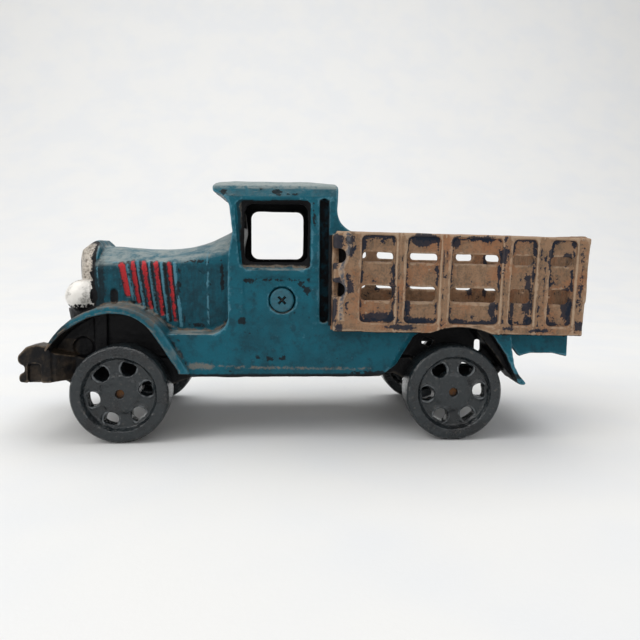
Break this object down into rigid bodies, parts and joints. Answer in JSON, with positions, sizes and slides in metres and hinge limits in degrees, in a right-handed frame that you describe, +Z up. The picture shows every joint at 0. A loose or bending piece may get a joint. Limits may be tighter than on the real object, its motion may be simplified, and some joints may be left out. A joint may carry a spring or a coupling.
{
  "type": "push-along toy truck",
  "caption": "Cast-iron style push-along stake truck: hollow two-half body with open cab and slatted bed, on two free-turning wheelsets.",
  "frame": {"origin": "on the ground under the middle of the truck's length and width", "axes": "+X towards the tailgate (the nose points to -X), +Y to the truck's right side, +Z up"},
  "size_m": [0.1953, 0.079, 0.091],
  "materials": {
    "painted_casting": "worn teal, tan, silver and black paint over cast iron",
    "painted_screw": "satin paint over steel",
    "steel_rod": "dull, lightly rusted",
    "black_wheel": "semi-gloss black paint, scuffed edges"
  },
  "bodies": {
    "truck_body": {"left_body_half": "painted_casting", "right_body_half": "painted_casting", "cab_screw": "painted_screw", "cab_nut": "painted_screw"},
    "front_wheelset": {"front_axle": "steel_rod", "front_left_wheel": "black_wheel", "front_right_wheel": "black_wheel"},
    "rear_wheelset": {"rear_axle": "steel_rod", "rear_left_wheel": "black_wheel", "rear_right_wheel": "black_wheel"}
  },
  "joints": [
    {"name": "front_axle_spin", "type": "hinge", "parent": "truck_body", "child": "front_wheelset", "pos_m": [-0.0615, 0, 0.0168], "axis": [0, 1, 0], "continuous": true},
    {"name": "rear_axle_spin", "type": "hinge", "parent": "truck_body", "child": "rear_wheelset", "pos_m": [0.0532, 0, 0.0168], "axis": [0, 1, 0], "continuous": true}
  ]
}
